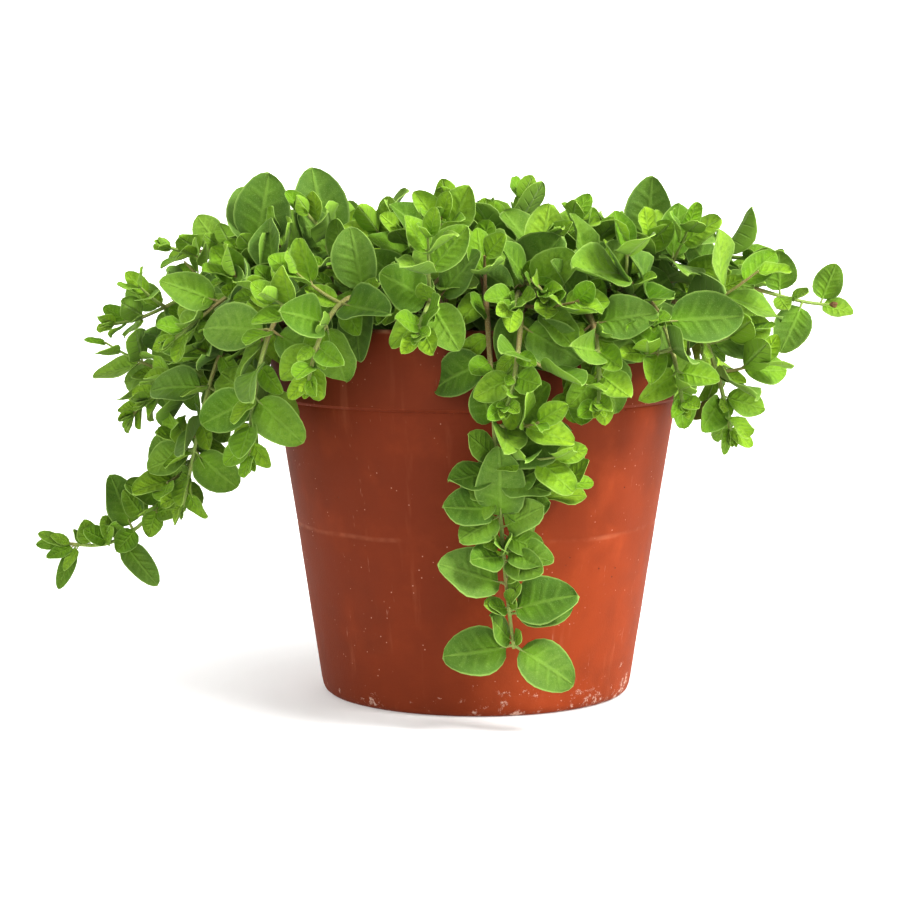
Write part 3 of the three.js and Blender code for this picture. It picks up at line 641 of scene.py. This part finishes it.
def clay_paint(seam):
    """Fired clay with dust, streaks, scuffs, a casting seam and pale salts at the foot, and painted shade on
    the left side and over the rim band.
    """
    p = Paint("fired_clay", Specular_IOR_Level=0.18)
    x, y, z = p.axes(p.place())
    broad = p.speckle(14.0, 4.0, rough=0.6)
    blotch = p.speckle(55.0, 5.0, rough=0.62)
    grain = p.speckle(1500.0, 3.0)
    color = p.mix(broad.step(0.35, 0.68), (0.215, 0.040, 0.010), (0.295, 0.057, 0.014))
    color = p.mix(blotch.step(0.48, 0.78, 0.0, 0.4), color, (0.38, 0.085, 0.028))
    color = p.mix(p.speckle(34.0, 4.0).step(0.55, 0.8, 0.0, 0.55), color, (0.15, 0.034, 0.012))
    # partly painted shade: the rim band and the groove beneath it are darkened for the shade of the foliage
    # and the band's overhang, on top of the band's own darker tone
    color = p.mix(z.step(0.099, 0.102, 0.0, 0.35), color, (0.15, 0.034, 0.012))
    # painted shade: the pot's left side is darkened, as if turned away from the key light
    color = p.mix(x.step(0.03, -0.02, 0.0, 0.45), color, (0.13, 0.026, 0.009))
    runs = p.speckle(1.0, 4.0, p.stretched((130.0, 130.0, 7.0)), 0.6)
    color = p.mix(runs.step(0.58, 0.80, 0.0, 0.20), color, (0.50, 0.20, 0.11))
    scratch = p.speckle(1.0, 3.0, p.stretched((520.0, 520.0, 16.0)), 0.7).step(0.66, 0.74)
    scratch = scratch * p.speckle(38.0, 2.0).step(0.5, 0.65)
    color = p.mix(scratch * 0.45, color, (0.60, 0.38, 0.28))
    scuff = p.speckle(1.0, 5.0, p.stretched((90.0, 90.0, 240.0)), 0.75).step(0.62, 0.72)
    scuff = scuff * p.speckle(26.0, 2.0).step(0.52, 0.68)
    color = p.mix(scuff * 0.25, color, (0.58, 0.36, 0.26))
    line = 1.0 - abs(z - seam + (p.speckle(40.0, 2.0) - 0.5) * 0.0022).step(0.0002, 0.0011)
    line = line * p.speckle(36.0, 4.0, rough=0.7).step(0.42, 0.66)
    color = p.mix(line * 0.22, color, (0.50, 0.22, 0.13))
    salts = p.speckle(210.0, 6.0, rough=0.75)
    foot = z.step(0.021, 0.0, 0.0, 1.0)
    lobe = p.speckle(22.0, 2.0).step(0.3, 0.62)
    salt = (salts + foot * 0.11 + lobe * foot * 0.08 + x.step(-0.03, 0.02, -0.04, 0.02)).step(0.70, 0.80)
    salt = salt * foot.step(0.02, 0.4)
    color = p.mix(salt * 0.55, color, (0.78, 0.60, 0.50))
    specks = (1.0 - p.cells(420.0).step(0.06, 0.13)) * p.speckle(70.0, 2.0).step(0.5, 0.62)
    color = p.mix(specks * 0.55, color, (0.62, 0.40, 0.30))
    pits = (1.0 - p.cells(260.0).step(0.03, 0.10)) * p.speckle(45.0, 2.0).step(0.55, 0.65)
    color = p.mix(pits * 0.8, color, (0.06, 0.02, 0.012))
    edge = z.step(0.1246, 0.1258)
    color = p.mix(edge * p.speckle(160.0, 4.0).step(0.4, 0.6, 0.0, 0.6), color, (0.58, 0.30, 0.19))
    rough = 0.50 + blotch * 0.2 + salt * 0.2 + runs * 0.08
    throwing = p.speckle(1.0, 2.0, p.stretched((4.0, 4.0, 900.0)))
    height = (grain * 0.18 + blotch * 0.25 + throwing * 0.12 + salt * 0.35 - scratch * 0.25
              - pits * 0.9 - line * 0.35)
    return p.finish(color, rough, height, 0.0005, 0.7)


def soil_paint(name, dark, light):
    """Dark crumbly potting mix."""
    p = Paint(name, Specular_IOR_Level=0.2)
    lump = p.speckle(260.0, 5.0, rough=0.7)
    fleck = p.cells(500.0)
    color = p.mix(lump.step(0.3, 0.7), dark, light)
    color = p.mix((1.0 - fleck.step(0.05, 0.16)) * 0.5, color, (0.26, 0.17, 0.09))
    return p.finish(color, 0.88 + lump * 0.1, lump + fleck * 0.5, 0.0012)


def floor_paint(white, near_glow):
    """Plain pale studio floor that glows with painted light of its own, brightening away from the middle."""
    p = Paint("studio_floor", Specular_IOR_Level=0.05, Emission_Strength=1.0)
    x, y, z = p.axes(p.place())
    away = (x * x + y * y) ** 0.5
    # painted light: the floor's own glow is dimmer near the pot and full white further out and up the cove,
    # lifting its shadows and lighting the pot from below
    glow = away.step(0.05, 0.16, 0.0, 0.40).most(away.step(0.22, 1.3)).most(z.step(0.01, 0.3))
    p.plug(p.mix(glow, (near_glow,) * 3, (1.0, 1.0, 1.0)), p.shader.inputs["Emission Color"])
    return p.finish(p.mix(p.speckle(3.0, 2.0) * 0.02, (white, white, white), (0.5, 0.5, 0.5)),
                    0.9 + p.speckle(60.0, 2.0) * 0.05)


# ---------------------------------------------------------------- modelling helpers
def choose(*objects):
    if bpy.context.object and bpy.context.object.mode != "OBJECT":
        bpy.ops.object.mode_set(mode="OBJECT")
    bpy.ops.object.select_all(action="DESELECT")
    for made in objects:
        made.select_set(True)
    bpy.context.view_layer.objects.active = objects[0]


def named(name):
    made = bpy.context.object
    made.name = made.data.name = name
    return made


def settle(piece):
    """Puts a piece's place into its mesh."""
    choose(piece)
    bpy.ops.object.transform_apply(location=True, rotation=True, scale=True)


def smooth(piece, degrees):
    choose(piece)
    bpy.ops.object.shade_smooth_by_angle(angle=math.radians(degrees))


def use_modifier(piece, kind, **settings):
    choose(piece)
    made = piece.modifiers.new(kind.lower(), kind)
    for key, value in settings.items():
        setattr(made, key, value)
    bpy.ops.object.modifier_apply(modifier=made.name)


def dry_bud(name, stem):
    """A small withered flower bud on the end of a stem."""
    tip, ahead = stem.at(stem.total)
    scales = []
    for k in range(5):
        bpy.ops.mesh.primitive_ico_sphere_add(subdivisions=2, radius=0.9 * MM)
        scale = named(f"{name}_{k}")
        turn = Vector(ahead).to_track_quat("Z", "Y").to_matrix()
        for vertex in scale.data.vertices:
            co = vertex.co
            co.z *= 1.7
            co.x += 0.5 * MM * math.cos(k * 1.26) * (1 + co.z / (1.5 * MM))
            co.y += 0.5 * MM * math.sin(k * 1.26) * (1 + co.z / (1.5 * MM))
            vertex.co = turn @ co + Vector((tip + ahead * 1.3) * MM)
        scales.append(scale)
    choose(*scales)
    bpy.ops.object.join()
    bud = named(name)
    smooth(bud, 60)
    dress(bud, "foliage", bpy.data.materials["dry_bud"])


def turned(name, profile, segments):
    """A round piece drawn up ring by ring from its base disc, closed at the top centre."""
    first = profile[0]
    bpy.ops.mesh.primitive_circle_add(vertices=segments, radius=first[0] * MM, fill_type="NGON",
                                      location=(0, 0, first[1] * MM))
    piece = named(name)
    settle(piece)
    choose(piece)
    bpy.ops.object.mode_set(mode="EDIT")
    bpy.ops.mesh.select_all(action="SELECT")
    for (r0, z0), (r1, z1) in zip(profile, profile[1:]):
        bpy.ops.mesh.extrude_region_move(
            TRANSFORM_OT_translate={"value": (0, 0, (z1 - z0) * MM)})
        bpy.ops.transform.resize(value=(r1 / r0, r1 / r0, 1), center_override=(0, 0, z1 * MM))
    bpy.ops.mesh.select_all(action="SELECT")
    bpy.ops.mesh.normals_make_consistent(inside=False)
    bpy.ops.object.mode_set(mode="OBJECT")
    return piece


def between(profile, most):
    """Adds rings to a profile so that none is further than most from the next."""
    full = [profile[0]]
    for (r0, z0), (r1, z1) in zip(profile, profile[1:]):
        count = max(1, math.ceil(math.hypot(r1 - r0, z1 - z0) / most))
        full += [(r0 + (r1 - r0) * i / count, z0 + (z1 - z0) * i / count)
                 for i in range(1, count + 1)]
    return full


def dress(piece, slot, *materials):
    piece.data.materials.clear()
    for material in materials:
        piece.data.materials.append(material)
    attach(piece, "root")


def leaf_blank(name, columns, rows):
    """A flat leaf in its own terms: x across from -1 to 1, y along from 0 to 1, z thickness."""
    bpy.ops.mesh.primitive_grid_add(x_subdivisions=columns, y_subdivisions=len(rows) - 1, size=2)
    piece = named(name)
    count = len(rows) - 1
    mesh = piece.data
    layer = mesh.uv_layers[0]
    layer.name = "UVMap"
    for vertex in mesh.vertices:
        vertex.co.y = rows[round((vertex.co.y + 1) / 2 * count)]
    for loop in mesh.loops:
        co = mesh.vertices[loop.vertex_index].co
        layer.data[loop.index].uv = ((co.x + 1) / 2, co.y)
    mesh.materials.append(bpy.data.materials["leaf_upper"])
    mesh.materials.append(bpy.data.materials["leaf_lower"])
    use_modifier(piece, "SOLIDIFY", thickness=1.0, offset=-1.0, material_offset=1,
                 use_even_offset=False)
    choose(piece)
    return piece


def shape_leaf(flat, leaf, draw):
    """Turns a blank's points into one folded, curled and waved leaf, in metres."""
    u, v, z = flat[:, 0], flat[:, 1], flat[:, 2]
    length, width, age = leaf["length"], leaf["width"], leaf["age"]
    outline = np.power(np.sin(np.pi * np.clip(v, 1e-6, 1 - 1e-6) ** 0.80), 0.52)
    outline = np.maximum(outline, np.where(v < 0.5, 0.07, 0.035))
    outline *= 1 + 0.02 * np.sin(v * 41 + draw(0, 6))
    half = outline * width * 0.54
    x = u * half
    round_off = 0.10 * width
    fold = leaf["fold"] * draw(0.9, 1.9)
    curl = draw(-0.1, 0.65) * age - draw(0.05, 0.4) * (1 - age)
    lift = math.sin(fold) * (np.sqrt(x * x + round_off ** 2) - round_off)
    wave = draw(0.03, 0.09) * width
    lift += wave * np.sin(v * draw(6, 10) + draw(0, 6)) * u * np.abs(u)
    lift += 0.05 * width * draw(-1, 1) * (u * u) * np.sin(np.pi * v)
    lift -= curl * length * v * v * 0.5
    run = length * v * (1 - curl * curl * v * v / 6)
    twist = draw(-0.5, 0.5) * v
    across = x * math.cos(fold)
    across, lift = (across * np.cos(twist) - lift * np.sin(twist) * 0.5,
                    lift + across * np.sin(twist))
    sway = draw(-0.06, 0.06) * length * v * v
    thick = z * (0.22 + 0.16 * age)
    side = np.cross(leaf["normal"], leaf["along"])
    points = (leaf["base"] + run[:, None] * leaf["along"] + (across + sway)[:, None] * side
              + (lift + thick)[:, None] * leaf["normal"])
    return points * MM


def copy_leaf(blank, flat, leaf, seed):
    draw = make_random(seed)
    piece = blank.copy()
    piece.data = blank.data.copy()
    bpy.context.collection.objects.link(piece)
    piece.data.vertices.foreach_set("co", shape_leaf(flat, leaf, draw).ravel())
    count = len(piece.data.vertices)
    for name, value in (("leaf_age", leaf["age"]), ("leaf_tint", draw(0, 1))):
        layer = piece.data.attributes.new(name, "FLOAT", "POINT")
        layer.data.foreach_set("value", [value] * count)
    piece.data.update()
    return piece


def stem_piece(name, stem, shoots, leaves, thickness, material):
    """The stem with its roots end in the soil, and a short stalk to each leaf."""
    line = bpy.data.curves.new(name, "CURVE")
    line.dimensions, line.bevel_depth, line.bevel_resolution = "3D", 1.0, 1
    line.use_fill_caps, line.resolution_u = True, 3
    draw = make_random(len(leaves) * 31 + 7)

    def spline(points, radii):
        made = line.splines.new("BEZIER")
        made.bezier_points.add(len(points) - 1)
        for knot, point, radius in zip(made.bezier_points, points, radii):
            knot.co, knot.radius = Vector(point * MM), radius * MM
            knot.handle_left_type = knot.handle_right_type = "AUTO"

    start = stem.points[0] - unit(stem.points[1] - stem.points[0]) * 6
    main = [start] + stem.points[::2]
    radii = [thickness * (1.15 - 0.55 * i / (len(main) - 1)) * draw(0.94, 1.06)
             for i in range(len(main))]
    spline(main, radii)
    for shoot in shoots:
        spline(shoot.points[::6], [thickness * share for share in (0.72, 0.62, 0.54, 0.46, 0.36)])
    for leaf in leaves:
        stalk = max(0.28, min(0.55, leaf["length"] * 0.026))
        middle = (leaf["stem"] + leaf["base"]) / 2 + UP * 0.2
        inner = leaf["base"] + leaf["along"] * (0.10 * leaf["length"]) - leaf["normal"] * 0.15
        spline([leaf["stem"], middle, leaf["base"] - leaf["normal"] * 0.1, inner],
               [stalk * 1.2, stalk, stalk * 0.85, stalk * 0.4])
    piece = bpy.data.objects.new(name, line)
    bpy.context.collection.objects.link(piece)
    choose(piece)
    bpy.ops.object.convert(target="MESH")
    piece = named(name)
    points = np.zeros(len(piece.data.vertices) * 3)
    piece.data.vertices.foreach_get("co", points)
    points = points.reshape(-1, 3) / MM
    path = np.array(stem.points)
    nearest = ((points[:, None, :] - path[None]) ** 2).sum(2).argmin(1)
    layer = piece.data.attributes.new("stem_age", "FLOAT", "POINT")
    layer.data.foreach_set("value", (1 - nearest / 24).astype(float))
    smooth(piece, 60)
    dress(piece, "foliage", material)
    return piece


# ---------------------------------------------------------------- settings
class OreganoPotSettings(bpy.types.PropertyGroup):
    """Sizes of the clay pot and the soil"""
    segments: bpy.props.IntProperty(name="Segments", description="Facets around the pot",
                                    default=192, min=48, max=512)
    wobble: bpy.props.FloatProperty(name="Wobble", description="Unevenness of the clay wall",
                                    default=0.00018, unit="LENGTH")
    seam_height: bpy.props.FloatProperty(name="Seam height", description="Height of the faint seam",
                                         default=SEAM_HEIGHT * MM, unit="LENGTH")
    drain_radius: bpy.props.FloatProperty(name="Drain hole radius", default=0.005, unit="LENGTH",
                                          description="Radius of each hole in the pot's floor")
    crumbs: bpy.props.IntProperty(name="Crumbs", description="Loose crumbs on the soil",
                                  default=260)


class OreganoPlantSettings(bpy.types.PropertyGroup):
    """How the sprigs are dressed"""
    fullness: bpy.props.FloatProperty(name="Fullness", default=1.0, min=0.5, max=2.0,
                                      description="How closely the lower leaf pairs follow")
    stem_radius: bpy.props.FloatProperty(name="Stem radius", default=1.0,
                                         description="Radius of a stem at its root, in mm")


class OreganoStageSettings(bpy.types.PropertyGroup):
    """Camera, floor and lights"""
    camera_place: bpy.props.FloatVectorProperty(name="Camera place", unit="LENGTH", size=3,
                                                description="Where the camera stands",
                                                default=(-0.009, -0.859, 0.1692))
    camera_aim: bpy.props.FloatVectorProperty(name="Camera aim", unit="LENGTH", size=3,
                                              description="The point the camera looks at",
                                              default=(-0.009, 0.0, 0.0818))
    lens: bpy.props.FloatProperty(name="Lens", description="Focal length in mm", default=101.44)
    floor_glow: bpy.props.FloatProperty(name="Floor glow", default=0.34, min=0.0, max=1.0,
                                        description="Light of its own that the floor gives near the pot")
    floor_white: bpy.props.FloatProperty(name="Floor white", description="How pale the floor is",
                                         default=0.58, subtype="FACTOR")


# ---------------------------------------------------------------- operators
class OREGANO_OT_finishes(bpy.types.Operator):
    """Makes the finishes of the pot, soil and plant"""
    bl_idname = "oregano.finishes"
    bl_label = "Make finishes"

    def execute(self, context):
        leaf_top_paint()
        leaf_under_paint()
        stem_paint()
        bud_paint()
        clay_paint(context.scene.oregano_pot.seam_height)
        soil_paint("potting_mix", (0.012, 0.008, 0.005), (0.075, 0.045, 0.026))
        soil_paint("soil_crumb", (0.02, 0.012, 0.008), (0.13, 0.085, 0.05))
        return {"FINISHED"}


class OREGANO_OT_pot(bpy.types.Operator):
    """Turns the clay pot, with its rim band, rounded foot and drain holes"""
    bl_idname = "oregano.pot"
    bl_label = "Make pot"

    def execute(self, context):
        setup = context.scene.oregano_pot
        profile = between([
            (BASE_RADIUS - 3, 0.0), (BASE_RADIUS, 0.0), (BASE_RADIUS + 1.2, 0.35),
            (BASE_RADIUS + 2.3, 1.2), (CORNER_RADIUS - 0.3, 2.6), (CORNER_RADIUS + 0.2, 5.0),
            (61.0 - 0.1, SEAM_HEIGHT - 0.7), (61.0 - 0.12, SEAM_HEIGHT), (61.1, SEAM_HEIGHT + 0.7),
            (BODY_TOP_RADIUS - 0.1, BAND_BOTTOM - 1.4), (BODY_TOP_RADIUS - 0.15, BAND_BOTTOM - 0.5),
            (BAND_BOTTOM_RADIUS - 0.7, BAND_BOTTOM - 0.15), (BAND_BOTTOM_RADIUS, BAND_BOTTOM + 0.6),
            (RIM_RADIUS, POT_HEIGHT - 2.0), (RIM_RADIUS - 0.25, POT_HEIGHT - 0.8),
            (RIM_RADIUS - 1.2, POT_HEIGHT), (INNER_RIM_RADIUS + 1.4, POT_HEIGHT),
            (INNER_RIM_RADIUS + 0.4, POT_HEIGHT - 0.5), (INNER_RIM_RADIUS, POT_HEIGHT - 1.8),
            (INNER_BASE_RADIUS + 0.6, FLOOR_THICKNESS + 1.5),
            (INNER_BASE_RADIUS - 1.0, FLOOR_THICKNESS), (8.0, FLOOR_THICKNESS)], 6.0)
        pot = turned("clay_pot", profile, setup.segments)
        for vertex in pot.data.vertices:
            co = vertex.co
            r = math.hypot(co.x, co.y)
            if r < (BASE_RADIUS - 4) * MM or co.z < 0.00001:
                continue
            push = noise.noise(co * 26) * setup.wobble + noise.noise(co * 90) * setup.wobble * 0.4
            low = max(0.0, 1 - abs(co.z - 0.0012) / 0.0022)
            high = max(0.0, 1 - abs(co.z - POT_HEIGHT * MM) / 0.0012)
            chip = max(0.0, noise.noise(co * 230) - 0.28) * (low * 0.0011 + high * 0.0007)
            scale = 1 + (push - chip) / r
            co.x *= scale
            co.y *= scale
        cutters = []
        for i in range(3):
            turn = 2 * math.pi * (i + 0.25) / 3
            bpy.ops.mesh.primitive_cylinder_add(
                vertices=32, radius=setup.drain_radius, depth=0.03,
                location=(0.026 * math.cos(turn), 0.026 * math.sin(turn), 0.004))
            cutters.append(named(f"drain_cutter_{i + 1}"))
        for cutter in cutters:
            use_modifier(pot, "BOOLEAN", object=cutter, operation="DIFFERENCE", solver="EXACT")
            bpy.data.objects.remove(cutter)
        smooth(pot, 35)
        dress(pot, "clay", bpy.data.materials["fired_clay"])
        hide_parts("pot")
        return {"FINISHED"}


class OREGANO_OT_soil(bpy.types.Operator):
    """Fills the pot with uneven soil and scatters crumbs on it"""
    bl_idname = "oregano.soil"
    bl_label = "Make soil"

    def execute(self, context):
        setup = context.scene.oregano_pot
        low, edge = FLOOR_THICKNESS + 0.4, SOIL_TOP - 1.5
        wide = INNER_BASE_RADIUS + (INNER_RIM_RADIUS - INNER_BASE_RADIUS) * (
            (edge - FLOOR_THICKNESS) / (POT_HEIGHT - FLOOR_THICKNESS)) - 0.6
        profile = between([(42.0, low), (INNER_BASE_RADIUS - 1.4, low + 1.2), (wide, edge)], 30)
        profile += between([(wide, edge), (40.0, SOIL_TOP + 0.4), (1.0, SOIL_TOP + 1.0)], 2.6)[1:]
        soil = turned("potting_soil_fill", profile, 112)
        for vertex in soil.data.vertices:
            co = vertex.co
            if co.z > (edge - 0.2) * MM:
                lumps = noise.noise(co * 120) * 1.1 + noise.noise(co * 300) * 0.9
                co.z += (lumps + noise.noise(co * 700) * 0.6) * MM
        smooth(soil, 70)
        dress(soil, "soil", bpy.data.materials["potting_mix"])
        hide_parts("potting_soil")
        crumbs = []
        draw = make_random(4242)
        for i in range(setup.crumbs):
            r, turn, size = 58 * math.sqrt(draw(0, 1)), draw(0, 2 * math.pi), draw(0.6, 2.0)
            place = vec(r * math.cos(turn), r * math.sin(turn), SOIL_TOP + 0.9 - 0.8 * r / 60)
            bpy.ops.mesh.primitive_ico_sphere_add(subdivisions=1, radius=size * MM,
                                                  location=Vector(place * MM))
            crumb = named(f"crumb_{i}")
            crumb.scale = (draw(0.6, 1.5), draw(0.6, 1.3), draw(0.4, 0.9))
            crumb.rotation_euler = (draw(0, 6), draw(0, 6), draw(0, 6))
            for vertex in crumb.data.vertices:
                vertex.co *= 1 + 0.35 * noise.noise(vertex.co * 900 + Vector((i, 0, 0)))
            crumbs.append(crumb)
        choose(*crumbs)
        bpy.ops.object.transform_apply(location=True, rotation=True, scale=True)
        bpy.ops.object.join()
        heap = named("soil_crumbs")
        dress(heap, "soil", bpy.data.materials["soil_crumb"])
        return {"FINISHED"}


class OREGANO_OT_sprigs(bpy.types.Operator):
    """Grows every sprig: one piece of stem and stalks, one of leaves"""
    bl_idname = "oregano.sprigs"
    bl_label = "Grow sprigs"

    def execute(self, context):
        setup = context.scene.oregano_plant
        large = leaf_blank("leaf_blank_large", 6, [0, 0.035, 0.11, 0.22, 0.35, 0.49, 0.63, 0.77, 0.89,
                                                   0.965, 1])
        small = leaf_blank("leaf_blank_small", 4, [0, 0.07, 0.22, 0.42, 0.62, 0.82, 0.95, 1])
        flats = {}
        for blank in (large, small):
            flat = np.zeros(len(blank.data.vertices) * 3)
            blank.data.vertices.foreach_get("co", flat)
            flats[blank.name] = flat.reshape(-1, 3)
        plant = Plant()
        grown = [grow_main(plant, i) for i in range(len(SPRIGS))]
        for i, sprig in enumerate(SPRIGS):
            for k, extra in enumerate(HANGING_EXTRAS.get(sprig[0], [])):
                leaf = own_leaf(extra, i, 50 + k, plant.stems[i])
                plant.place(leaf, vec(0, -0.6, 0.4), grown[i][0], HANGING_EASE)
        shoots = [grow_shoots(plant, i, *sprig) for i, sprig in enumerate(grown)]
        for i, (leaves, stations, distance) in enumerate(grown):
            grow_fine(plant, i, leaves, stations, distance, setup.fullness)
        print("leaves grown:", len(plant.placed))
        for i, (leaves, _, _) in enumerate(grown):
            name = SPRIGS[i][0]
            copies = []
            for k, leaf in enumerate(leaves):
                blank = large if leaf["length"] > 12.5 else small
                copies.append(copy_leaf(blank, flats[blank.name], leaf, i * 997 + k * 13 + 5))
            choose(*copies)
            bpy.ops.object.join()
            foliage = named(f"{name}_leaves")
            smooth(foliage, 55)
            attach(foliage, "root")
            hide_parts(name)
            stem_piece(f"{name}_stem", plant.stems[i], shoots[i], leaves, setup.stem_radius,
                       bpy.data.materials["stem_skin"])
        dry_bud("sprig_right_trailing_bud", plant.stems[2])
        bpy.data.objects.remove(large)
        bpy.data.objects.remove(small)
        return {"FINISHED"}


class OREGANO_OT_stage(bpy.types.Operator):
    """Sets the pale floor, the soft lights and the camera"""
    bl_idname = "oregano.stage"
    bl_label = "Set stage"

    def execute(self, context):
        setup = context.scene.oregano_stage
        profile = [(0.01, 0.0)] + [(r, 0.0) for r in (0.4, 1.2, 2.2)]
        profile += [(2.2 + 0.8 * math.sin(a), 0.8 - 0.8 * math.cos(a))
                    for a in np.linspace(0.2, math.pi / 2, 8)] + [(3.0, 3.0)]
        mesh = bpy.data.meshes.new("studio_floor")
        shape = bmesh.new()
        rings = []
        for r, z in profile:
            rings.append([shape.verts.new((r * math.cos(2 * math.pi * k / 96),
                                           r * math.sin(2 * math.pi * k / 96), z))
                          for k in range(96)])
        shape.faces.new(rings[0])
        for inner, outer in zip(rings, rings[1:]):
            for k in range(96):
                shape.faces.new((inner[k], outer[k], outer[(k + 1) % 96], inner[(k + 1) % 96]))
        shape.to_mesh(mesh)
        shape.free()
        floor = bpy.data.objects.new("studio_floor", mesh)
        context.collection.objects.link(floor)
        floor.data.materials.append(floor_paint(setup.floor_white, setup.floor_glow))
        smooth(floor, 60)
        for name, place, aim, size, watts in LAMPS:
            lamp = bpy.data.lights.new(name, "AREA")
            lamp.energy, lamp.size, lamp.shape = watts, size, "SQUARE"
            light = bpy.data.objects.new(name, lamp)
            context.collection.objects.link(light)
            light.location = place
            light.rotation_euler = (Vector(aim) - Vector(place)).to_track_quat("-Z", "Y").to_euler()
        world = context.scene.world or bpy.data.worlds.new("studio_air")
        context.scene.world = world
        world.use_nodes = True
        air = world.node_tree.nodes["Background"]
        air.inputs["Color"].default_value = (1, 1, 1, 1)
        air.inputs["Strength"].default_value = AIR_STRENGTH
        context.scene.view_settings.view_transform = "Standard"
        context.scene.view_settings.gamma = VIEW_GAMMA
        lens = bpy.data.cameras.new("front_camera")
        lens.lens, lens.sensor_width, lens.clip_start = setup.lens, 36.0, 0.01
        camera = bpy.data.objects.new("front_camera", lens)
        context.collection.objects.link(camera)
        camera.location = setup.camera_place
        aim = Vector(setup.camera_aim) - Vector(setup.camera_place)
        camera.rotation_euler = aim.to_track_quat("-Z", "Y").to_euler()
        context.scene.camera = camera
        return {"FINISHED"}


class OREGANO_PT_panel(bpy.types.Panel):
    """Lists the steps that build the potted oregano"""
    bl_label = "Potted Oregano"
    bl_space_type = "VIEW_3D"
    bl_region_type = "UI"
    bl_category = "Oregano"

    def draw(self, context):
        for settings in ("oregano_pot", "oregano_plant", "oregano_stage"):
            group = getattr(context.scene, settings)
            for key in group.__annotations__:
                self.layout.prop(group, key)
        for step in STEPS:
            self.layout.operator(step.bl_idname)


SETTINGS = {"oregano_pot": OreganoPotSettings, "oregano_plant": OreganoPlantSettings,
            "oregano_stage": OreganoStageSettings}
STEPS = (OREGANO_OT_finishes, OREGANO_OT_pot, OREGANO_OT_soil, OREGANO_OT_sprigs, OREGANO_OT_stage)


def register():
    for cls in (*SETTINGS.values(), *STEPS, OREGANO_PT_panel):
        bpy.utils.register_class(cls)
    for key, group in SETTINGS.items():
        setattr(bpy.types.Scene, key, bpy.props.PointerProperty(type=group))


def unregister():
    for key in SETTINGS:
        delattr(bpy.types.Scene, key)
    for cls in reversed((*SETTINGS.values(), *STEPS, OREGANO_PT_panel)):
        bpy.utils.unregister_class(cls)


def main():
    register()
    bpy.ops.oregano.finishes()
    bpy.ops.oregano.pot()
    bpy.ops.oregano.soil()
    bpy.ops.oregano.sprigs()
    bpy.ops.oregano.stage()
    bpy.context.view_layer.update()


if __name__ == "__main__":
    main()
